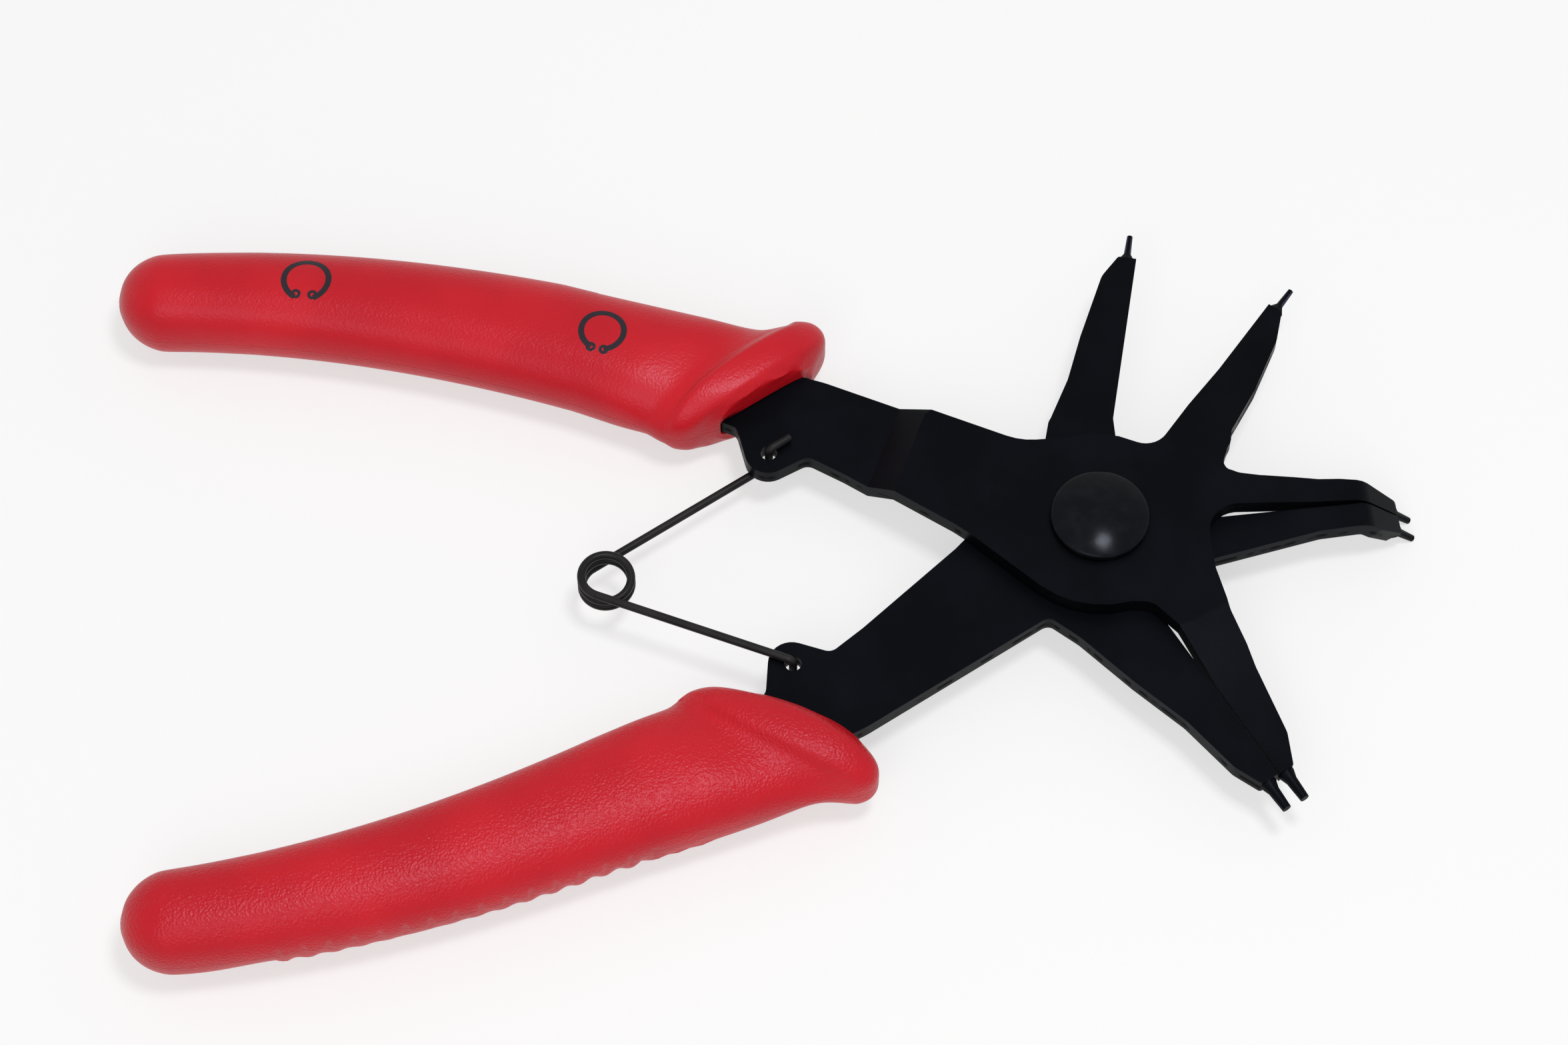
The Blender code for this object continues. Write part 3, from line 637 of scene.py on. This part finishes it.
low_hole = polar(HOLE_DISTANCE, TANG_TURN - HOLE_ANGLE)
high_hole = polar(HOLE_DISTANCE, TANG_TURN + HOLE_ANGLE)
over = LOWER_Z + PLATE + CLEARANCE + WIRE_RADIUS
under = LOWER_Z - CLEARANCE - WIRE_RADIUS
to_low, to_high = low_hole - COIL_CENTRE, high_hole - COIL_CENTRE
low_out = math.atan2(to_low.y, to_low.x) + math.asin(COIL_RADIUS / to_low.length)
high_out = math.atan2(to_high.y, to_high.x) - math.asin(COIL_RADIUS / to_high.length)
coil_start = low_out - math.pi / 2
coil_sweep = (coil_start - high_out - math.pi / 2) % (2 * math.pi) + 2 * math.pi * COIL_FULL_TURNS
coil_turns = coil_sweep / (2 * math.pi)
coil_drop = (2 * WIRE_RADIUS + CLEARANCE) * coil_turns
coil_top = HANDLE_Z + coil_drop / 2
coil_bottom = coil_top - coil_drop

coil_path = []
coil_count = round(COIL_STEPS * coil_turns)
for i in range(coil_count + 1):
    around = COIL_CENTRE + polar(COIL_RADIUS, coil_start - coil_sweep * i / coil_count)
    coil_path.append(lifted(around, coil_top - coil_drop * i / coil_count))

low_corners = [lifted(low_hole + polar(HOOK_LENGTH, low_out), under), lifted(low_hole, under),
               lifted(low_hole, over), coil_path[0]]
high_corners = [coil_path[-1], lifted(high_hole, under), lifted(high_hole, over),
                lifted(high_hole + polar(HOOK_LENGTH, high_out), over)]
low_path, high_path = (
    [first] + bent(first, second, third) + bent(second, third, fourth) + [fourth]
    for first, second, third, fourth in (low_corners, high_corners)
)
print(f"the coil has {coil_turns:.2f} turns from {coil_bottom / MM:.2f} to {coil_top / MM:.2f} mm")

# %% [markdown]
# ## The spring's three lengths
# The wire is cut where the coil begins and ends. The legs ride on the spring's two bodies. The
# coil is left where it is built, on neither body.

# %% The spring's three lengths
low_leg = swept_wire("spring_low_leg", low_path, spring_tree)
high_leg = swept_wire("spring_high_leg", high_path, spring_tree)
coil = swept_wire("spring_coil_turns", coil_path, spring_tree)
show(low_leg, wire_black.material, "spring_low", "spring", "spring_lower_arm")
show(high_leg, wire_black.material, "spring_high", "spring", "spring_upper_arm")
show(coil, wire_black.material, None, "spring")
lifted(COIL_CENTRE, coil_top - WIRE_RADIUS)
lifted(COIL_CENTRE, coil_bottom + WIRE_RADIUS)
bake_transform(coil)

# %% [markdown]
# ## The vinyl grips
# The grips are slipped-on mouldings of soft red vinyl. The CAD solid has the right outline in few
# faces. Its triangles are joined back into quads and a Subdivision Surface rounds them, while
# creased edges keep the pocket's mouth crisp. Subdividing shrinks a shape, so its corners are
# pushed out over a few rounds until the smooth surface passes close to them. Then a saddle is
# carved behind the lip, and the solid's ribs are partly filled, with small ticks above them. For
# ribs and ticks, a table gives the depth by the way the surface faces, in degrees above the
# horizontal.

# %% The vinyl grips
GRIP_LEVELS = 3
FITTING_ROUNDS = 3
FITTING_STEP = 0.8
QUAD_BEND = math.radians(40.0)
QUAD_SKEW = math.radians(60.0)
MOUTH_ANGLE = math.radians(60.0)
POCKET_HALF_HEIGHT = 1.7 * MM
GRIP_THROAT = -66.0 * MM
LIP_CREASE = ((-58.6, 20.2), (-55.0, 24.4), (-52.0, 27.0), (-47.0, 30.4), (-42.0, 33.4),
              (-38.5, 35.6))
LIP_STEP = 1.5 * MM
SADDLE_LENGTH = 8.0 * MM
SADDLE_FADE = 3.0 * MM
CREASE_DEPTH = 0.8 * MM
TICK_PITCH = 3.3 * MM
TICKS_START = -57.75 * MM
TICKS_END = -114.0 * MM
TICK_HALF_WIDTH = 0.9 * MM
TICK_DEPTH = 0.24 * MM
TICK_REACH = ((-30, 0), (-20, 0.7), (-5, 1), (5, 1), (13, 0))
TICK_TAPER = ((-181, 1), (-30, 1), (12, 0.45), (181, 0.45))
RIB_FILL = 0.26 * MM
RIB_REACH = ((-80, 0), (-60, 0.8), (-38, 1), (-22, 0.9), (-8, 0))


def rounded_through(piece):
    """Subdivide a piece so that the smooth surface still passes through corners off the mouth."""
    cage = piece.data
    rest = [vertex.co.copy() for vertex in cage.vertices]
    rounding = piece.modifiers.new("Rounding", "SUBSURF")
    rounding.levels = GRIP_LEVELS
    rounding.render_levels = GRIP_LEVELS
    for _ in range(FITTING_ROUNDS):
        smooth_mesh = evaluated_mesh(piece)
        for vertex, place, moved in zip(cage.vertices, rest, smooth_mesh.vertices):
            if abs(place.z - HANDLE_Z) > POCKET_HALF_HEIGHT or place.x < GRIP_THROAT:
                vertex.co += (place - moved.co) * FITTING_STEP
        bpy.data.meshes.remove(smooth_mesh)
        cage.update()
    smooth_mesh = evaluated_mesh(piece)
    piece.modifiers.remove(rounding)
    piece.data = smooth_mesh


def off_crease(plan, side):
    """Distance from the lip's crease, positive towards the mouth."""
    nearest, signed = math.inf, 0.0
    corners = [Vector((x * MM, side * y * MM)) for x, y in LIP_CREASE]
    for start, end in zip(corners, corners[1:]):
        run = end - start
        share = min(1.0, max(0.0, (plan - start).dot(run) / run.length_squared))
        off = plan - start - run * share
        if off.length < nearest:
            nearest = off.length
            signed = math.copysign(off.length, -side * run.cross(off))
    return signed


def saddle_depth(signed, height):
    """How deep the saddle is at a distance from the lip's crease and a height off the middle."""
    if not -SADDLE_LENGTH < signed < LIP_STEP:
        return 0.0
    share = 1 - signed / LIP_STEP if signed > 0 else 1 + signed / SADDLE_LENGTH
    return CREASE_DEPTH * share * share * (3 - 2 * share) * min(1.0, abs(height) / SADDLE_FADE)


def tick_height(x, facing):
    """How far the surface moves out where a rib is filled in, less the depth of the tick there."""
    if not TICKS_END < x < TICKS_START + TICK_HALF_WIDTH:
        return 0.0
    phase = (x - TICKS_START + TICK_PITCH / 2) % TICK_PITCH - TICK_PITCH / 2
    half_width = TICK_HALF_WIDTH * between(facing, TICK_TAPER)
    depth = TICK_DEPTH * max(0.0, 1 - abs(phase) / half_width) * between(facing, TICK_REACH)
    wave = 0.5 + 0.5 * math.cos(2 * math.pi * phase / TICK_PITCH)
    return RIB_FILL * wave * between(facing, RIB_REACH) - depth


def carve(piece, side):
    """Carve the saddle behind the lip, and turn the outer side's ribs into shallow ticks."""
    normals = [vertex.normal.copy() for vertex in piece.data.vertices]
    for vertex, normal in zip(piece.data.vertices, normals):
        x, height = vertex.co.x, vertex.co.z - HANDLE_Z
        depth = saddle_depth(off_crease(vertex.co.xy, side), height)
        facing = math.degrees(math.atan2(normal.z, normal.y * side))
        vertex.co.z -= math.copysign(depth, height)
        vertex.co += normal * tick_height(x, facing)


def grip(node, body, side, material):
    """A grip: quads from the CAD triangles, creased at the mouth, rounded and carved."""
    bm = merged_copy(node)
    bmesh.ops.join_triangles(bm, faces=bm.faces, angle_face_threshold=QUAD_BEND,
                             angle_shape_threshold=QUAD_SKEW)
    crease = bm.edges.layers.float.new("crease_edge")
    for edge in bm.edges:
        is_pocket = all(abs(vertex.co.z - HANDLE_Z) < POCKET_HALF_HEIGHT for vertex in edge.verts)
        if is_pocket and edge.calc_face_angle(0.0) > MOUTH_ANGLE:
            edge[crease] = 1.0
    piece = object_from(bm, f"{node}_dressed")
    piece.data.shade_smooth()
    rounded_through(piece)
    carve(piece, side)
    show(piece, material, body, "grips", node)


print(f"a grip is subdivided {GRIP_LEVELS} times and fitted in {FITTING_ROUNDS} rounds")

# %% [markdown]
# ## Vinyl, its grain and its print
# The mould was etched, so the vinyl has a fine leathery grain with a broad soft shine. A thin line
# shows where the mould's halves met. The upper grip is printed in black with the two ring symbols
# that any such pliers carry: a ring with its lugs inside, and one with its lugs outside. A symbol
# is a ring less a wedge, plus two small circles: plain arithmetic on the object's coordinates.

# %% Vinyl, its grain and its print
RING_LINE = 0.85 * MM
LUG_LINE = 0.45 * MM
LUG_RADIUS = 0.48 * MM
PRINT_EDGE = 0.05 * MM
WEDGE_EDGE = 0.08 * MM
INSIDE_RING = {"centre": (-104.0, 48.9), "radius": 3.1, "opening": -101.0, "half_gap": 26.0,
               "lug_distance": 2.65}
OUTSIDE_RING = {"centre": (-63.9, 35.9), "radius": 2.95, "opening": -110.6, "half_gap": 18.0,
                "lug_distance": 3.0}
DEEP_RED = (0.5, 0.004, 0.01, 1.0)
BRIGHT_RED = (0.57, 0.007, 0.013, 1.0)
INK = (0.012, 0.008, 0.01, 1.0)
GRAIN = 0.32 * MM
PORE = 0.25 * MM
GRAIN_DEPTH = 0.1 * MM


def circle_line(x, y, centre, radius, width):
    """A mask for a printed circle."""
    across, along = x - centre[0], y - centre[1]
    off_line = ((across * across + along * along).root() - radius).size()
    return 1 - off_line.fade(width / 2 - PRINT_EDGE, width / 2 + PRINT_EDGE)


def ring_symbol(x, y, centre, radius, opening, half_gap, lug_distance):
    """A mask for a printed retaining ring with a lug on each end; sizes in mm and degrees."""
    middle = Vector(centre) * MM
    opening, half_gap = math.radians(opening), math.radians(half_gap)
    facing = polar(1.0, opening)
    side = Vector((-facing.y, facing.x))
    across, along = x - middle.x, y - middle.y
    ahead = across * facing.x + along * facing.y
    aside = (across * side.x + along * side.y).size()
    wedge = (ahead * math.tan(half_gap) - aside).fade(0.0, WEDGE_EDGE)
    ring = circle_line(x, y, middle, radius * MM, RING_LINE) * (1 - wedge)
    for sign in (-1, 1):
        lug = middle + polar(lug_distance * MM, opening + sign * half_gap)
        ring = ring.most(circle_line(x, y, lug, LUG_RADIUS, LUG_LINE))
    return ring


def vinyl(name, strength, is_printed):
    """Red vinyl with an etched grain and a faint parting line, printed on its upper side or not."""
    finish = Finish(name, Metallic=0.0, Specular_IOR_Level=0.3,
                    Specular_Tint=(0.85, 0.8, 1.0, 1.0))
    x, y, z = finish.xyz()
    grain = finish.cells(GRAIN)
    pores = finish.noise(PORE)
    clouds = finish.noise(14 * MM, 3.0)
    seam = 1 - (z - HANDLE_Z).size().fade(0.06 * MM, 0.16 * MM)
    red = finish.mix(clouds.fade(0.3, 0.7), DEEP_RED, BRIGHT_RED)
    if is_printed:
        rings = ring_symbol(x, y, **INSIDE_RING).most(ring_symbol(x, y, **OUTSIDE_RING))
        red = finish.mix(rings * (z - HANDLE_Z).fade(0.0, 1.0 * MM), red, INK)
    finish.set("Base Color", red)
    finish.set("Roughness", 0.3 + 0.1 * grain + 0.05 * clouds)
    finish.relief(grain * (1.2 * strength) + pores * (0.6 * strength) + seam * 0.8, GRAIN_DEPTH)
    return finish.material


grip("lower_grip", "lower_half", -1, vinyl("red vinyl", 0.8, False))
grip("upper_grip", "upper_half", 1, vinyl("red vinyl with print", 0.35, True))

# %% [markdown]
# ## The studio
# The picture was taken on white, with a small lamp that shows in the rivet and a soft light near
# the camera. The floor and the world are white to the camera and in reflections, and the lamps are
# kept at a level at which a colour renders about as it is written.

# %% The studio
FLOOR_SIZE = 6.0
FLOOR_GAP = 0.02 * MM
FLOOR_GLOW = 0.6
WORLD_LIGHT = 0.45
AIM = Vector((-0.045, 0.0, 0.0))


def seen_or_lit(tree, seen_level, lit_level):
    """One level to the camera, in gloss and through glass, another for the light that spreads."""
    path = tree.nodes.new("ShaderNodeLightPath")
    seen = path.outputs["Is Camera Ray"]
    for ray in ("Is Glossy Ray", "Is Transmission Ray"):
        either = tree.nodes.new("ShaderNodeMath")
        either.operation = "MAXIMUM"
        tree.links.new(seen, either.inputs[0])
        tree.links.new(path.outputs[ray], either.inputs[1])
        seen = either.outputs[0]
    level = tree.nodes.new("ShaderNodeMapRange")
    level.inputs["To Min"].default_value = lit_level
    level.inputs["To Max"].default_value = seen_level
    tree.links.new(seen, level.inputs["Value"])
    return level.outputs["Result"]


world = bpy.data.worlds.new("white studio")
world.use_nodes = True
background = world.node_tree.nodes["Background"]
background.inputs["Color"].default_value = (1.0, 1.0, 1.0, 1.0)
strength = seen_or_lit(world.node_tree, 1.0, WORLD_LIGHT)
world.node_tree.links.new(strength, background.inputs["Strength"])
bpy.context.scene.world = world

floor_white = Finish("white floor", Roughness=0.9)
floor_white.set("Base Color", (0.9, 0.9, 0.9, 1.0))
glow = floor_white.node("ShaderNodeEmission", inputs={"Strength": 1.0})
share = seen_or_lit(floor_white.tree, FLOOR_GLOW, 0.0)
surface = Value(floor_white, floor_white.surface.outputs["BSDF"])
shaders = {0: Value(floor_white, share), 1: surface, 2: glow}
shown = floor_white.node("ShaderNodeMixShader", inputs=shaders)
floor_white.feed(floor_white.tree.nodes["Material Output"].inputs["Surface"], shown)

floor_height = cad_box[0].z - FLOOR_GAP
bpy.ops.mesh.primitive_plane_add(size=FLOOR_SIZE, location=(0.0, 0.0, floor_height))
floor = bpy.context.object
floor.name = "floor"
floor.data.materials.append(floor_white.material)
floor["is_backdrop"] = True


def softbox(name, place, size, watts):
    """A square lamp at a place, aimed at the pliers."""
    lamp = bpy.data.lights.new(name, "AREA")
    lamp.size = size
    lamp.energy = watts
    holder = bpy.data.objects.new(name, lamp)
    bpy.context.scene.collection.objects.link(holder)
    holder.location = place
    holder.rotation_euler = (AIM - Vector(place)).to_track_quat("-Z", "Y").to_euler()


softbox("key straight above", (0.06, -0.076, 0.70), 0.14, 2.2)
softbox("fill by the camera", (-0.25, -0.55, 0.60), 0.40, 1.4)
print("floor, world and two softboxes are in place")

# %% [markdown]
# ## The camera
# The picture was taken with a long lens from above the front of the pliers, tilted 29 degrees from
# straight down and turned a little to the left. Depth of field stays off.

# %% The camera
TILT = math.radians(29.0)
TURN = math.radians(-6.6)
lens = bpy.data.cameras.new("long lens")
lens.sensor_width = 36.0
lens.lens = 91.84
lens.clip_start = 0.01
camera = bpy.data.objects.new("camera", lens)
bpy.context.scene.collection.objects.link(camera)
camera.location = (-0.07244, -0.25554, 0.47857)
camera.rotation_euler = (TILT, 0.0, TURN)
bpy.context.scene.camera = camera
bpy.context.scene.view_settings.view_transform = "Standard"
print(f"the camera looks along a lens of {lens.lens:.0f} mm")

# %% [markdown]
# ## Sizes
# The dressed pliers should fill the same box as the solids. Both boxes are printed.

# %% Sizes
boxes = {"cad": cad_box, "visual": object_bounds()}
for name, (low, high) in boxes.items():
    print(f"{name} box: {[round(size / MM, 2) for size in high - low]} mm")
